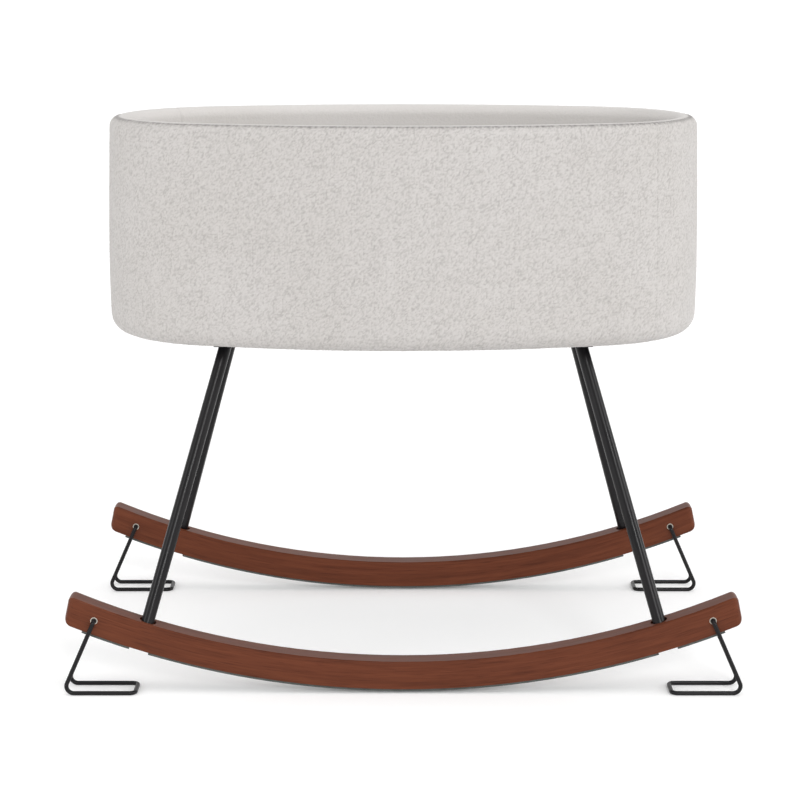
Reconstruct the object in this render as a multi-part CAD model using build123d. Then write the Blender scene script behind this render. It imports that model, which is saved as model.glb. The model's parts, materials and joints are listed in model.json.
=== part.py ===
"""Rocking bassinet: an oval upholstered basket on four splayed steel legs and two curved wooden rockers.

Millimetres, +Z up.  X runs along the basket's length, Y across it, and -Y is the front.
The origin is on the floor under the middle of the basket.  The bassinet is modelled parked: each rocker
end has a wire kickstand that is folded down, and the four of them lift the rockers just off the floor.
"""
from build123d import *
import os
from math import asin, cos, degrees, hypot, radians, sin, tan

# ---- driving dimensions ----
BASKET_LENGTH = 844
BASKET_WIDTH = 444
BASKET_END_RADIUS = 185      # plan radius of the basket's two ends
BASKET_BOTTOM = 470          # height of the padded underside above the floor
BASKET_TOP = 781             # height of the padded rim above the floor
WALL = 34                    # padded wall, outside face to inside face
RIM_RADIUS = 16
BOTTOM_RADIUS = 25
FABRIC = 2                   # looped outer fabric
OUTER_PAD = 14               # fabric and foam outside the hoop
HOOP = 6                     # bent plywood hoop
HOOP_LIFT = 2                # the hoop's lower edge above the base board's underside
RIM_CAP = 22                 # depth of padding above the hoop
COVER_DROP = 42              # how far the cover comes down inside the rim
BOARD = 12                   # plywood base board
BOTTOM_PAD = 4               # fabric and foam under the board's edge
BOTTOM_PAD_WIDTH = 45        # how far they turn in under the board
DUST_CLOTH = 1
MATTRESS = 36
MATTRESS_GAP = 3             # between the mattress and the lining
MATTRESS_FILLET = 10
SHEET = 1
SOFT_GAP = 0.3               # air between pieces that only rest on each other

ROCKER_SPACING = 520         # between the mid-planes of the two rockers
ROCKER_THICK = 34
ROCKER_HEIGHT = 40
ROCKER_UNDER_RADIUS = 1210   # wooden underside, side view
ROCKER_END_X = 465
ROCKER_END_LEAN = 12         # degrees, the end face leans in at the top
ROCKER_NOSE_TOP = 7
ROCKER_NOSE_BOTTOM = 13
ROCKER_NOSE_SIDE = 9         # plan radius of the end corners
ROCKER_EDGE = 2
PARK_LIFT = 3                # floor to grip strip when the kickstands are down
STRIP = 3
STRIP_WIDTH = 29
LONG_STRIP_X = 354           # half-length of the middle grip strip
SHORT_STRIP_X = (380, 445)

TUBE = 18
TUBE_WALL = 1.5
LEG_FOOT_X = 354             # where the foot's bolt axis crosses the rocker's top
LEG_TOP = (252, 110.5)       # x and y of the leg's axis under the cross rail
SOCKET_RADIUS = 12
SOCKET_DEPTH = 10
INSERT_LENGTH = 14
INSERT_THREAD_FLOOR = 3      # solid metal left above the insert's threaded hole

RAIL_X = 250
RAIL_WIDTH = 36
RAIL_BOTTOM = 463
RAIL_HALF_LENGTH = 132
RAIL_WALL = 1.5
RAIL_EDGE = 2
CAP_PLATE = 2
CAP_PLUG = 14
CAP_GAP = 0.1                # between the plug and the rail's inside
RAIL_BOLT_Y = 62

BOLT = 6
BOLT_CLEARANCE = 6.6
BOLT_HEAD = 10
BOLT_HEAD_HEIGHT = 4
BOLT_HEAD_CHAMFER = 0.6
BOLT_SOCKET = 5
BOLT_SOCKET_DEPTH = 2.4
BOLT_END_GAP = 5             # between the foot bolt's tip and the far end of its insert
WASHER = 13
WASHER_THICK = 1.2
COUNTERBORE = 14
COUNTERBORE_DEPTH = 7
NUT_BARREL = 8
NUT_FLANGE = 19
NUT_FLANGE_THICK = 1.5
NUT_RECESS = 1               # the barrel stops short of the board's underside
THREAD_GAP = 0.1             # between a thread and the part that it turns in

WIRE = 6
PIVOT_X = 427
WIRE_SPACING = 45            # between the two sides of a kickstand
WIRE_CORNER_X = 472
WIRE_END_X = 372
WIRE_END_INSET = 2           # from the rocker's mid-plane to each end of the wire
PIVOT_BEND = 5
CORNER_BEND = 10
LOOP_BEND = 8
BUSH_OUTER = 10
BUSH_INNER = 6.2

# ---- values that follow ----
ARC_Z = PARK_LIFT + STRIP + ROCKER_UNDER_RADIUS
TOP_RADIUS = ROCKER_UNDER_RADIUS - ROCKER_HEIGHT
MID_RADIUS = ROCKER_UNDER_RADIUS - ROCKER_HEIGHT / 2
PIVOT_Z = ARC_Z - (MID_RADIUS**2 - PIVOT_X**2) ** 0.5
FOOT_ANGLE = asin(LEG_FOOT_X / TOP_RADIUS)
SOCKET_FLOOR = TOP_RADIUS + SOCKET_DEPTH
BOARD_BOTTOM = BASKET_BOTTOM + BOTTOM_PAD
BOARD_TOP = BOARD_BOTTOM + BOARD
HOOP_BOTTOM = BOARD_BOTTOM + HOOP_LIFT
HOOP_TOP = BASKET_TOP - RIM_CAP
LINING_TOP = BASKET_TOP - COVER_DROP
BOARD_INSET = OUTER_PAD + HOOP
RAIL_TOP = BOARD_BOTTOM - DUST_CLOTH
SIDES = {"front": -1, "back": 1}
ENDS = {"left": -1, "right": 1}


def save(shape, name):
    """Writes one sub-part; several separate pieces go in as one compound."""
    pieces = shape if isinstance(shape, list) else list(shape.solids())
    whole = pieces[0] if len(pieces) == 1 else Compound(children=pieces)
    export_step(whole, f"parts/{name}.step")


def oval(inset):
    """The basket's plan outline moved inwards: two end arcs and two long side arcs, all tangent."""
    half_length = BASKET_LENGTH / 2
    half_width = BASKET_WIDTH / 2
    end_x = half_length - BASKET_END_RADIUS
    side_radius = (end_x**2 + half_width**2 - BASKET_END_RADIUS**2) / (2 * (half_width - BASKET_END_RADIUS))
    reach = hypot(end_x, side_radius - half_width)
    end_radius = BASKET_END_RADIUS - inset
    meet_x = end_x * (1 + end_radius / reach)
    meet_y = end_radius * (side_radius - half_width) / reach
    long_x = half_length - inset
    wide_y = half_width - inset
    outline = [
        ThreePointArc((meet_x, -meet_y), (long_x, 0), (meet_x, meet_y)),
        ThreePointArc((meet_x, meet_y), (0, wide_y), (-meet_x, meet_y)),
        ThreePointArc((-meet_x, meet_y), (-long_x, 0), (-meet_x, -meet_y)),
        ThreePointArc((-meet_x, -meet_y), (0, -wide_y), (meet_x, -meet_y)),
    ]
    return make_face(outline)


def oval_slab(inset, bottom, top):
    """A vertical-sided slab of the basket's plan between two heights."""
    return Pos(0, 0, bottom) * extrude(oval(inset), top - bottom)


def oval_ring(outer_inset, inner_inset, bottom, top):
    return oval_slab(outer_inset, bottom, top) - oval_slab(inner_inset, bottom, top)


def edges_at(solid, height):
    return solid.edges().filter_by_position(Axis.Z, height - 0.01, height + 0.01)


def padded_form(depth):
    """The padded wall with its rounded rim and its turned-in bottom, shrunk by one depth."""
    low = BASKET_BOTTOM + depth
    high = BASKET_TOP - depth
    body = oval_slab(depth, low, high)
    body = fillet(edges_at(body, low), BOTTOM_RADIUS - depth)
    body -= oval_slab(WALL - depth, BOARD_BOTTOM, high)
    body = fillet(edges_at(body, high), RIM_RADIUS - depth)
    body -= oval_slab(OUTER_PAD, HOOP_BOTTOM, LINING_TOP)
    body -= oval_ring(OUTER_PAD, BOARD_INSET, LINING_TOP, HOOP_TOP)
    body -= oval_slab(BOARD_INSET, BOARD_BOTTOM, HOOP_BOTTOM)
    return body - oval_slab(BOTTOM_PAD_WIDTH, BASKET_BOTTOM, BOARD_BOTTOM)


def mattress_form(depth):
    low = BOARD_TOP + SOFT_GAP + depth
    high = BOARD_TOP + SOFT_GAP + MATTRESS - depth
    slab = oval_slab(WALL + MATTRESS_GAP + depth, low, high)
    return fillet(edges_at(slab, high), MATTRESS_FILLET - depth)


def upright_rod(x, y, bottom, top, diameter):
    """A plain vertical cylinder between two heights."""
    return Pos(x, y, bottom) * Cylinder(diameter / 2, top - bottom, align=(Align.CENTER, Align.CENTER, Align.MIN))


def rail_bolt_places():
    return [(end * RAIL_X, y) for end in ENDS.values() for y in (-RAIL_BOLT_Y, RAIL_BOLT_Y)]


def base_board():
    board = oval_slab(BOARD_INSET, BOARD_BOTTOM, BOARD_TOP)
    for x, y in rail_bolt_places():
        board -= upright_rod(x, y, BOARD_BOTTOM, BOARD_TOP, NUT_BARREL)
        board -= upright_rod(x, y, BOARD_TOP - NUT_FLANGE_THICK, BOARD_TOP, NUT_FLANGE)
    return board


def dust_cloth():
    cloth = oval_slab(BOTTOM_PAD_WIDTH + SOFT_GAP, RAIL_TOP, BOARD_BOTTOM)
    for x, y in rail_bolt_places():
        cloth -= upright_rod(x, y, RAIL_TOP, BOARD_BOTTOM, BOLT_CLEARANCE)
    return cloth


def box_at(x, y, bottom, size_x, size_y, size_z):
    return Pos(x, y, bottom) * Box(size_x, size_y, size_z, align=(Align.CENTER, Align.CENTER, Align.MIN))


def cross_rail(end):
    """Rectangular tube under the board that joins the tops of one end's two legs."""
    height = RAIL_TOP - RAIL_BOTTOM
    length = 2 * (RAIL_HALF_LENGTH - CAP_PLATE)
    x = end * RAIL_X
    rail = box_at(x, 0, RAIL_BOTTOM, RAIL_WIDTH, length, height)
    rail = fillet(rail.edges().filter_by(Axis.Y), RAIL_EDGE)
    inside = box_at(x, 0, RAIL_BOTTOM + RAIL_WALL, RAIL_WIDTH - 2 * RAIL_WALL, length, height - 2 * RAIL_WALL)
    rail -= inside
    for y in (-RAIL_BOLT_Y, RAIL_BOLT_Y):
        rail -= upright_rod(x, y, RAIL_BOTTOM, RAIL_TOP, BOLT_CLEARANCE)
    return rail


def rail_cap(end, side):
    """Moulded plug that closes one end of a cross rail."""
    height = RAIL_TOP - RAIL_BOTTOM
    tube_end = RAIL_HALF_LENGTH - CAP_PLATE
    x = end * RAIL_X
    plate = box_at(x, side * (tube_end + CAP_PLATE / 2), RAIL_BOTTOM, RAIL_WIDTH, CAP_PLATE, height)
    plate = fillet(plate.edges().filter_by(Axis.Y), RAIL_EDGE)
    shrink = RAIL_WALL + CAP_GAP
    plug = box_at(x, side * (tube_end - CAP_PLUG / 2), RAIL_BOTTOM + shrink,
                  RAIL_WIDTH - 2 * shrink, CAP_PLUG, height - 2 * shrink)
    return plate + plug


def hex_bolt(length):
    """Socket-head bolt along +Z with its washer face at 0, the shank upwards and the head below."""
    head = Pos(0, 0, -BOLT_HEAD_HEIGHT) * Cylinder(
        BOLT_HEAD / 2, BOLT_HEAD_HEIGHT, align=(Align.CENTER, Align.CENTER, Align.MIN))
    head = chamfer(edges_at(head, -BOLT_HEAD_HEIGHT), BOLT_HEAD_CHAMFER)
    hexagon = RegularPolygon(BOLT_SOCKET / 2, 6, major_radius=False)
    key = Pos(0, 0, -BOLT_HEAD_HEIGHT) * extrude(hexagon, BOLT_SOCKET_DEPTH)
    shank = Cylinder(BOLT / 2, length, align=(Align.CENTER, Align.CENTER, Align.MIN))
    return head - key + shank


def washer():
    """Flat washer whose upper face is at 0."""
    ring = Pos(0, 0, -WASHER_THICK) * Cylinder(
        WASHER / 2, WASHER_THICK, align=(Align.CENTER, Align.CENTER, Align.MIN))
    hole = Pos(0, 0, -WASHER_THICK) * Cylinder(
        BOLT_CLEARANCE / 2, WASHER_THICK, align=(Align.CENTER, Align.CENTER, Align.MIN))
    return ring - hole


def tee_nut(x, y):
    barrel = upright_rod(x, y, BOARD_BOTTOM + NUT_RECESS, BOARD_TOP, NUT_BARREL)
    flange = upright_rod(x, y, BOARD_TOP - NUT_FLANGE_THICK, BOARD_TOP, NUT_FLANGE)
    return barrel + flange - upright_rod(x, y, BOARD_BOTTOM, BOARD_TOP, BOLT + THREAD_GAP)


def on_foot_axis(end, side, radius):
    """Frame whose +Z points up the rocker's radius through a leg's foot, at one radius of the arc."""
    x = end * radius * sin(FOOT_ANGLE)
    z = ARC_Z - radius * cos(FOOT_ANGLE)
    return Location((x, side * ROCKER_SPACING / 2, z), (0, -end * degrees(FOOT_ANGLE), 0))


def axis_rod(end, side, deep, shallow, diameter):
    """Cylinder on a foot's bolt axis between two radii of the rocker's arc."""
    rod = Cylinder(diameter / 2, deep - shallow, align=(Align.CENTER, Align.CENTER, Align.MIN))
    return on_foot_axis(end, side, deep) * rod


def arc_band(inner, outer, low_x, high_x):
    """Side-view band between two radii of the rocker's arc; the limits are x on the outer radius."""
    a, b = asin(low_x / outer), asin(high_x / outer)
    middle = (a + b) / 2

    def point(radius, angle):
        return (radius * sin(angle), ARC_Z - radius * cos(angle))

    outline = [
        ThreePointArc(point(outer, a), point(outer, middle), point(outer, b)),
        Line(point(outer, b), point(inner, b)),
        ThreePointArc(point(inner, b), point(inner, middle), point(inner, a)),
        Line(point(inner, a), point(outer, a)),
    ]
    return make_face(outline)


def across(face, side, thickness):
    """Turns a side-view face (x, z) upright and gives it thickness about a rocker's mid-plane."""
    solid = Plane.XZ * extrude(face, thickness / 2, both=True)
    return Pos(0, side * ROCKER_SPACING / 2, 0) * solid


def rocker_end_z():
    return ARC_Z - (MID_RADIUS**2 - ROCKER_END_X**2) ** 0.5


def rocker_face():
    """Side view of a rocker: a band of two concentric arcs with leaning, rounded ends."""
    overlong = ROCKER_END_X + ROCKER_HEIGHT
    band = arc_band(TOP_RADIUS, ROCKER_UNDER_RADIUS, -overlong, overlong)
    middle_z = rocker_end_z()
    reach = 2 * middle_z
    lean = reach * tan(radians(ROCKER_END_LEAN))
    keep = Polygon(
        (-ROCKER_END_X - lean, middle_z - reach), (ROCKER_END_X + lean, middle_z - reach),
        (ROCKER_END_X - lean, middle_z + reach), (-ROCKER_END_X + lean, middle_z + reach), align=None)
    face = (band & keep).faces()[0]
    face = fillet(face.vertices().sort_by(Axis.Y)[2:], ROCKER_NOSE_TOP)
    low_tips = sorted(face.vertices(), key=lambda v: -abs(v.X))[:2]
    return fillet(low_tips, ROCKER_NOSE_BOTTOM)


def end_rounding(end, side):
    """Leaning prism that gives one rocker end its corners, rounded as seen from above."""
    length = 3 * ROCKER_END_X
    plan = Rectangle(length, ROCKER_THICK)
    outer_corners = plan.vertices().sort_by(Axis.X)[2:] if end > 0 else plan.vertices().sort_by(Axis.X)[:2]
    plan = fillet(outer_corners, ROCKER_NOSE_SIDE)
    place = Pos(end * (ROCKER_END_X - length / 2), side * ROCKER_SPACING / 2, rocker_end_z())
    lean = Vector(-end * sin(radians(ROCKER_END_LEAN)), 0, cos(radians(ROCKER_END_LEAN)))
    return extrude(place * plan, 2 * rocker_end_z(), dir=lean, both=True)


def plain_rocker(side):
    """Rocker with its softened edges, before any hole."""
    solid = across(rocker_face(), side, ROCKER_THICK)
    solid = fillet(solid.edges().filter_by(lambda e: on_side_face(e, side)), ROCKER_EDGE)
    for end in ENDS.values():
        solid &= end_rounding(end, side)
    return solid


def on_side_face(edge, side):
    """True for an edge that lies in one of a rocker's two flat sides."""
    box = edge.bounding_box()
    offset = abs(box.center().Y - side * ROCKER_SPACING / 2)
    return box.size.Y < 0.01 and offset > ROCKER_THICK / 2 - 0.01


def pivot_rod(end, side, diameter, length):
    rod = Rot(90, 0, 0) * Cylinder(diameter / 2, length)
    return Pos(end * PIVOT_X, side * ROCKER_SPACING / 2, PIVOT_Z) * rod


def rocker(side):
    wood = plain_rocker(side)
    for end in ENDS.values():
        wood -= pivot_rod(end, side, BUSH_OUTER, 2 * ROCKER_THICK)
        wood -= axis_rod(end, side, SOCKET_FLOOR, TOP_RADIUS - SOCKET_DEPTH, 2 * SOCKET_RADIUS)
        wood -= axis_rod(end, side, ROCKER_UNDER_RADIUS + SOCKET_DEPTH, TOP_RADIUS, BOLT_CLEARANCE)
        wood -= axis_rod(end, side, ROCKER_UNDER_RADIUS + SOCKET_DEPTH,
                         ROCKER_UNDER_RADIUS - COUNTERBORE_DEPTH, COUNTERBORE)
    return wood


def grip_strip(side, low_x, high_x):
    band = arc_band(ROCKER_UNDER_RADIUS, ROCKER_UNDER_RADIUS + STRIP, low_x, high_x)
    return across(band, side, STRIP_WIDTH)


def leg_axis(end, side):
    """Foot point inside the rocker's socket and top point at the cross rail's underside."""
    seat = (SOCKET_FLOOR + TOP_RADIUS) / 2
    foot = Vector(end * seat * sin(FOOT_ANGLE), side * ROCKER_SPACING / 2, ARC_Z - seat * cos(FOOT_ANGLE))
    top = Vector(end * LEG_TOP[0], side * LEG_TOP[1], RAIL_BOTTOM)
    return foot, top


def leg_rod(end, side, diameter):
    """Rod along a leg's axis, cut flat on the socket's floor and on the cross rail's underside."""
    foot, top = leg_axis(end, side)
    along = (top - foot).normalized()
    spare = 2 * TUBE
    start = foot - along * spare
    plane = Plane(origin=start, z_dir=along)
    rod = plane * Cylinder(diameter / 2, (top - foot).length + 2 * spare,
                           align=(Align.CENTER, Align.CENTER, Align.MIN))
    wide = 8 * TUBE
    above = box_at(end * LEG_TOP[0], side * LEG_TOP[1], RAIL_BOTTOM, wide, wide, wide)
    under = on_foot_axis(end, side, SOCKET_FLOOR) * Box(
        wide, wide, wide / 2, align=(Align.CENTER, Align.CENTER, Align.MAX))
    return rod - above - under


def leg(end, side):
    return leg_rod(end, side, TUBE) - leg_rod(end, side, TUBE - 2 * TUBE_WALL)


def foot_insert(end, side):
    """Threaded plug in the foot of a leg that takes the bolt from under the rocker."""
    wide = 4 * TUBE
    slab = on_foot_axis(end, side, SOCKET_FLOOR) * Box(
        wide, wide, INSERT_LENGTH, align=(Align.CENTER, Align.CENTER, Align.MIN))
    plug = leg_rod(end, side, TUBE - 2 * TUBE_WALL - THREAD_GAP) & slab
    hole_end = SOCKET_FLOOR - INSERT_LENGTH + INSERT_THREAD_FLOOR
    return plug.solids()[0] - axis_rod(end, side, SOCKET_FLOOR + THREAD_GAP, hole_end, BOLT + THREAD_GAP)


def foot_bolt(end, side):
    seat = ROCKER_UNDER_RADIUS - COUNTERBORE_DEPTH + WASHER_THICK
    return on_foot_axis(end, side, seat) * hex_bolt(seat - SOCKET_FLOOR + INSERT_LENGTH - BOLT_END_GAP)


def foot_washer(end, side):
    return on_foot_axis(end, side, ROCKER_UNDER_RADIUS - COUNTERBORE_DEPTH) * washer()


def pivot_bush(end, side):
    return pivot_rod(end, side, BUSH_OUTER, ROCKER_THICK) - pivot_rod(end, side, BUSH_INNER, ROCKER_THICK)


def kickstand(end, side):
    """One bent wire: two ends in the rocker's hole, two uprights beside it and a loop on the floor."""
    half = WIRE_SPACING / 2
    floor_z = WIRE / 2
    middle = side * ROCKER_SPACING / 2
    pivot_x, corner_x, end_x = end * PIVOT_X, end * WIRE_CORNER_X, end * WIRE_END_X
    points = [
        (pivot_x, middle - WIRE_END_INSET, PIVOT_Z),
        (pivot_x, middle - half, PIVOT_Z),
        (corner_x, middle - half, floor_z),
        (end_x, middle - half, floor_z),
        (end_x, middle + half, floor_z),
        (corner_x, middle + half, floor_z),
        (pivot_x, middle + half, PIVOT_Z),
        (pivot_x, middle + WIRE_END_INSET, PIVOT_Z),
    ]
    bends = [PIVOT_BEND, CORNER_BEND, LOOP_BEND, LOOP_BEND, CORNER_BEND, PIVOT_BEND]
    path = FilletPolyline(*points, radius=bends)
    section = Plane(origin=path @ 0, z_dir=path % 0) * Circle(WIRE / 2)
    return sweep(section, path)


def main():
    os.makedirs("parts", exist_ok=True)
    wall_foam = padded_form(FABRIC)
    save(padded_form(0) - wall_foam, "outer_cover")
    save(wall_foam, "wall_foam")
    save(oval_ring(OUTER_PAD, BOARD_INSET, HOOP_BOTTOM, HOOP_TOP), "wall_hoop")
    save(oval_ring(BOARD_INSET, WALL, BOARD_TOP, LINING_TOP), "inner_lining")
    save(base_board(), "base_board")
    save(dust_cloth(), "dust_cloth")
    mattress_core = mattress_form(SHEET)
    save(mattress_core, "mattress_core")
    save(mattress_form(0) - mattress_core, "mattress_cover")

    for end_name, end in ENDS.items():
        save(cross_rail(end), f"cross_rail_{end_name}")
    save([rail_cap(end, side) for end in ENDS.values() for side in SIDES.values()], "rail_end_caps")
    places = rail_bolt_places()
    rail_bolt_length = BOARD_TOP - NUT_FLANGE_THICK - RAIL_BOTTOM
    rail_seat = RAIL_BOTTOM - WASHER_THICK
    save([Pos(x, y, rail_seat) * hex_bolt(rail_bolt_length) for x, y in places], "rail_bolts")
    save([Pos(x, y, RAIL_BOTTOM) * washer() for x, y in places], "rail_washers")
    save([tee_nut(x, y) for x, y in places], "tee_nuts")

    for side_name, side in SIDES.items():
        save(rocker(side), f"rocker_{side_name}")
        save(grip_strip(side, -LONG_STRIP_X, LONG_STRIP_X), f"grip_strip_{side_name}_middle")
        for end_name, end in ENDS.items():
            low, high = sorted(end * x for x in SHORT_STRIP_X)
            place = f"{side_name}_{end_name}"
            save(grip_strip(side, low, high), f"grip_strip_{place}")
            save(leg(end, side), f"leg_{place}")
            save(pivot_bush(end, side), f"pivot_bush_{place}")
            save(kickstand(end, side), f"kickstand_{place}")

    corners = [(end, side) for end in ENDS.values() for side in SIDES.values()]
    save([foot_insert(end, side) for end, side in corners], "foot_inserts")
    save([foot_bolt(end, side) for end, side in corners], "foot_bolts")
    save([foot_washer(end, side) for end, side in corners], "foot_washers")


main()
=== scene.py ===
"""Looks for the rocking bassinet: fabric, padding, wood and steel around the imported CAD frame.

Metres, +Z up.
"""

import json
import math

import bmesh
import bpy
import numpy as np
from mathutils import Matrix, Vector


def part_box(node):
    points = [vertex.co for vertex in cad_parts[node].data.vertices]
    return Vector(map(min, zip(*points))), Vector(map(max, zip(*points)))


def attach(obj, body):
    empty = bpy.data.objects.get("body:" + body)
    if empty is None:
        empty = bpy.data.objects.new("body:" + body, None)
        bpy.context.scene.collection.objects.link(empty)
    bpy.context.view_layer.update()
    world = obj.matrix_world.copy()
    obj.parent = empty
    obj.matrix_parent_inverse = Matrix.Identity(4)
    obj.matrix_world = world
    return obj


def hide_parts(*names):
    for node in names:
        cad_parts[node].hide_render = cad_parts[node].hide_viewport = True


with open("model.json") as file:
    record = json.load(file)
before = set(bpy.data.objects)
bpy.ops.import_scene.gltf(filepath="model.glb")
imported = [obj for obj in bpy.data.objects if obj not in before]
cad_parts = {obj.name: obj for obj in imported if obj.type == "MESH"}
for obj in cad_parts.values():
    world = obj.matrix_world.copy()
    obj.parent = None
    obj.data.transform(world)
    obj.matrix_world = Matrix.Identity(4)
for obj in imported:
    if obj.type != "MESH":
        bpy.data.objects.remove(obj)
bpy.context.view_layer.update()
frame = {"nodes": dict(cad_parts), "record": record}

# ---- the basket's own dimensions, metres ----
END_RADIUS = 0.185           # plan radius of the basket's two ends
WALL = 0.034                 # padded wall, outside face to inside face
RIM_RADIUS = 0.016
BOTTOM_RADIUS = 0.025
TUCK = 0.045                 # how far the cover turns in under the base board
FABRIC = 0.002
ARC_RADIUS = 1.210           # side-view radius of the rockers' wooden underside

# ---- looped cover ----
MESH_STEP = 0.0018           # mesh spacing on the looped fabric
LOOP_SIZE = 0.0034           # one curl of the looped fabric
FINE_LOOPS = 0.55            # size of the smaller curls between them, as a share
FINE_SHARE = 0.35            # how much of the pile's height the smaller curls make
LOOP_HEIGHT = 0.0010
LOOP_SUNK = 0.0013           # how far the cloth lies inside the cover's outline before it swells
LOOP_FLOOR = 0.0017          # the deepest a seam may press it, so that the foam stays covered
WANDER = 0.0012              # how far the rows of curls stray
BULGE = 0.0050               # how far the wall's padding swells, most of it below the middle
BULGE_LOW = 0.6              # below 1, the fullest place is below the middle
UNEVEN = 0.0007              # slow lumps in the padding
INNER_LOOPS = 0.35           # height of the curls inside the rim seam, as a share
FACE_FADE = 0.004            # all of this relief fades out this far from the cloth's two edges
HIDDEN_TONE = 0.6            # the value of the attribute loop behind the cloth

# ---- seams ----
JOIN_ANGLE = 52              # degrees round the end, from its middle to the cover's upright seam
SEAM_WIDTH = 0.0013
SEAM_DEPTH = 0.0006
RIM_SEAM_ANGLE = 73          # degrees up the outside of the rim to the seam along it
RIM_SEAM_WIDTH = 0.0022
RIM_SEAM_DEPTH = 0.0020
RIM_SEAM_SHADE = 0.0032      # half width of the painted shade just below the seam
RIM_SHADE_DROP = 0.0026
RIM_RAGGED = 0.0009          # how far the rim seam strays
SHADE_RAGGED = 1.6           # its shade strays this many times as far
STITCH = 0.0078              # spacing of the stitches that pucker the rim seam
STITCH_UNEVEN = 0.4          # how far a stitch strays, as a share of that spacing
PUCKER = 0.28                # how much shallower the seam is between two stitches
INNER_START = 0.003          # past the rim seam, the smoother cloth takes this far to begin
SEAM_SHADE = 0.15            # how much darker the pile is along an upright seam
PILE_TONES = (0.28, 0.52)    # the attribute loop at a curl's foot, low for painted shade, and its rise to the top
INNER_TONES = (0.88, 0.12)   # the same inside the rim seam, higher for painted light against the shade there

# ---- lining ----
LINING_BACK = 0.0202         # inset of the lining's hidden back face
LINING_START = 0.0005        # from the CAD lining's lower edge up to the cloth's
LINING_STEP = 0.0032
LINING_ROLL_STEP = 0.0015    # mesh spacing round the turned top edge
LINING_BACK_STEP = 0.04      # and on the hidden back face
LINING_ROLL = 0.004          # radius of the lining's turned top edge
LINING_FADE = 0.006          # the relief fades out this far below the lining's joint with the cover
LINING_LOOP_SIZE = 0.0042
LINING_LOOP_HEIGHT = 0.0007
LINING_SUNK = 0.0006
FULLNESS = 0.0011            # upright folds where the lining is a little too long for the wall
JOINT_GAP = 0.0006           # between the cover's hem and the lining's top edge

# ---- mattress ----
SLAB_STEP = 0.006
SLAB_ARC_STEP = 0.003
MATTRESS_INSET = 0.002       # the slab starts this far inside the CAD mattress, before it is puffed
MATTRESS_LOWER_ROLL = 0.004
MATTRESS_UPPER_ROLL = 0.011
MATTRESS_CROWN = 0.002
CROWN_REACH = 0.002          # how far under its top the slab still rises with the crown
HELD_HEIGHT = 0.003          # the cloth is held up to this far above its underside
MATTRESS_PUFF = 0.0055       # the most that the simulation moves the mattress's surface
SHEET_SLACK = 0.03
PRESSURE = 4.0
CLOTH_FRAMES = 20
CLOTH_QUALITY = 5            # solver steps in each frame
CLOTH_STIFFNESS = 12
CLOTH_BENDING = 0.3

# ---- dust sheet, staples and welds ----
DUST_LAP = 0.010             # how far the dust sheet laps over the cover's turned-in edge
DUST_THICK = 0.0006
DUST_GAP = 0.0006            # between the sheet and the cover that it laps
DUST_STAPLES = 44
DUST_COLUMNS = 16            # mesh columns from staple to staple
DUST_NEAR = (0.0, 0.004, 0.008, 0.011, 0.013, 0.015, 0.018)   # mesh rings close to the edge
DUST_FAR = np.linspace(0.16, 1.0, 12)                         # the others, as shares of the way in
DUST_RISE = (0.0105, 0.0175) # where the sheet climbs from under the cover's edge to the board
RIPPLE = 0.0009
RIPPLE_FADE = 0.006
RIPPLE_END = 0.012
STAPLE_LENGTH = 0.010
STAPLE_WIRE = 0.0010
STAPLE_INSET = 0.004
TUBE_RADIUS = 0.009
LEG_FOOT_X = 0.354
FOOT_Y = 0.260
LEG_TILT = math.radians(23.4)
WELD_RADIUS = 0.0019
WELD_DROP = 0.0006           # from the leg's top down to the middle of the bead
WELD_LUMPS = ((17, 0.12, 0), (5, 0.06, 1))   # waves round the leg, share of the bead's radius, phase
WELD_TURNS = 72              # mesh steps round the leg
WELD_ROLLS = 14              # mesh steps round the bead

# ---- studio ----
CAMERA_PLACE = (-0.0048, -3.351, 1.032)
CAMERA_PITCH = 11.33         # degrees below the horizon
CAMERA_LENS = 104.3          # millimetres on a 36 mm sensor
SKY_TOP = 0.62               # brightness overhead, where the horizon is 1
FLOOR_HALF = 60.0
FLOOR_GLOW = 0.14            # the backdrop is lit a little from behind, as on a light table

cover_low, cover_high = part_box("outer_cover")
lining_low, lining_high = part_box("inner_lining")
mattress_low, mattress_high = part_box("mattress_cover")
rocker_low, rocker_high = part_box("rocker_front")
dust_low, dust_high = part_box("dust_cloth")
HALF_LENGTH = cover_high.x
HALF_WIDTH = cover_high.y
ARC_CENTRE_Z = rocker_low.z + ARC_RADIUS
bush_low, bush_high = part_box("pivot_bush_front_right")
PIVOT_X = (bush_low.x + bush_high.x) / 2
PIVOT_Z = (bush_low.z + bush_high.z) / 2
BUSH_RADIUS = (bush_high.x - bush_low.x) / 2


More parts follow.
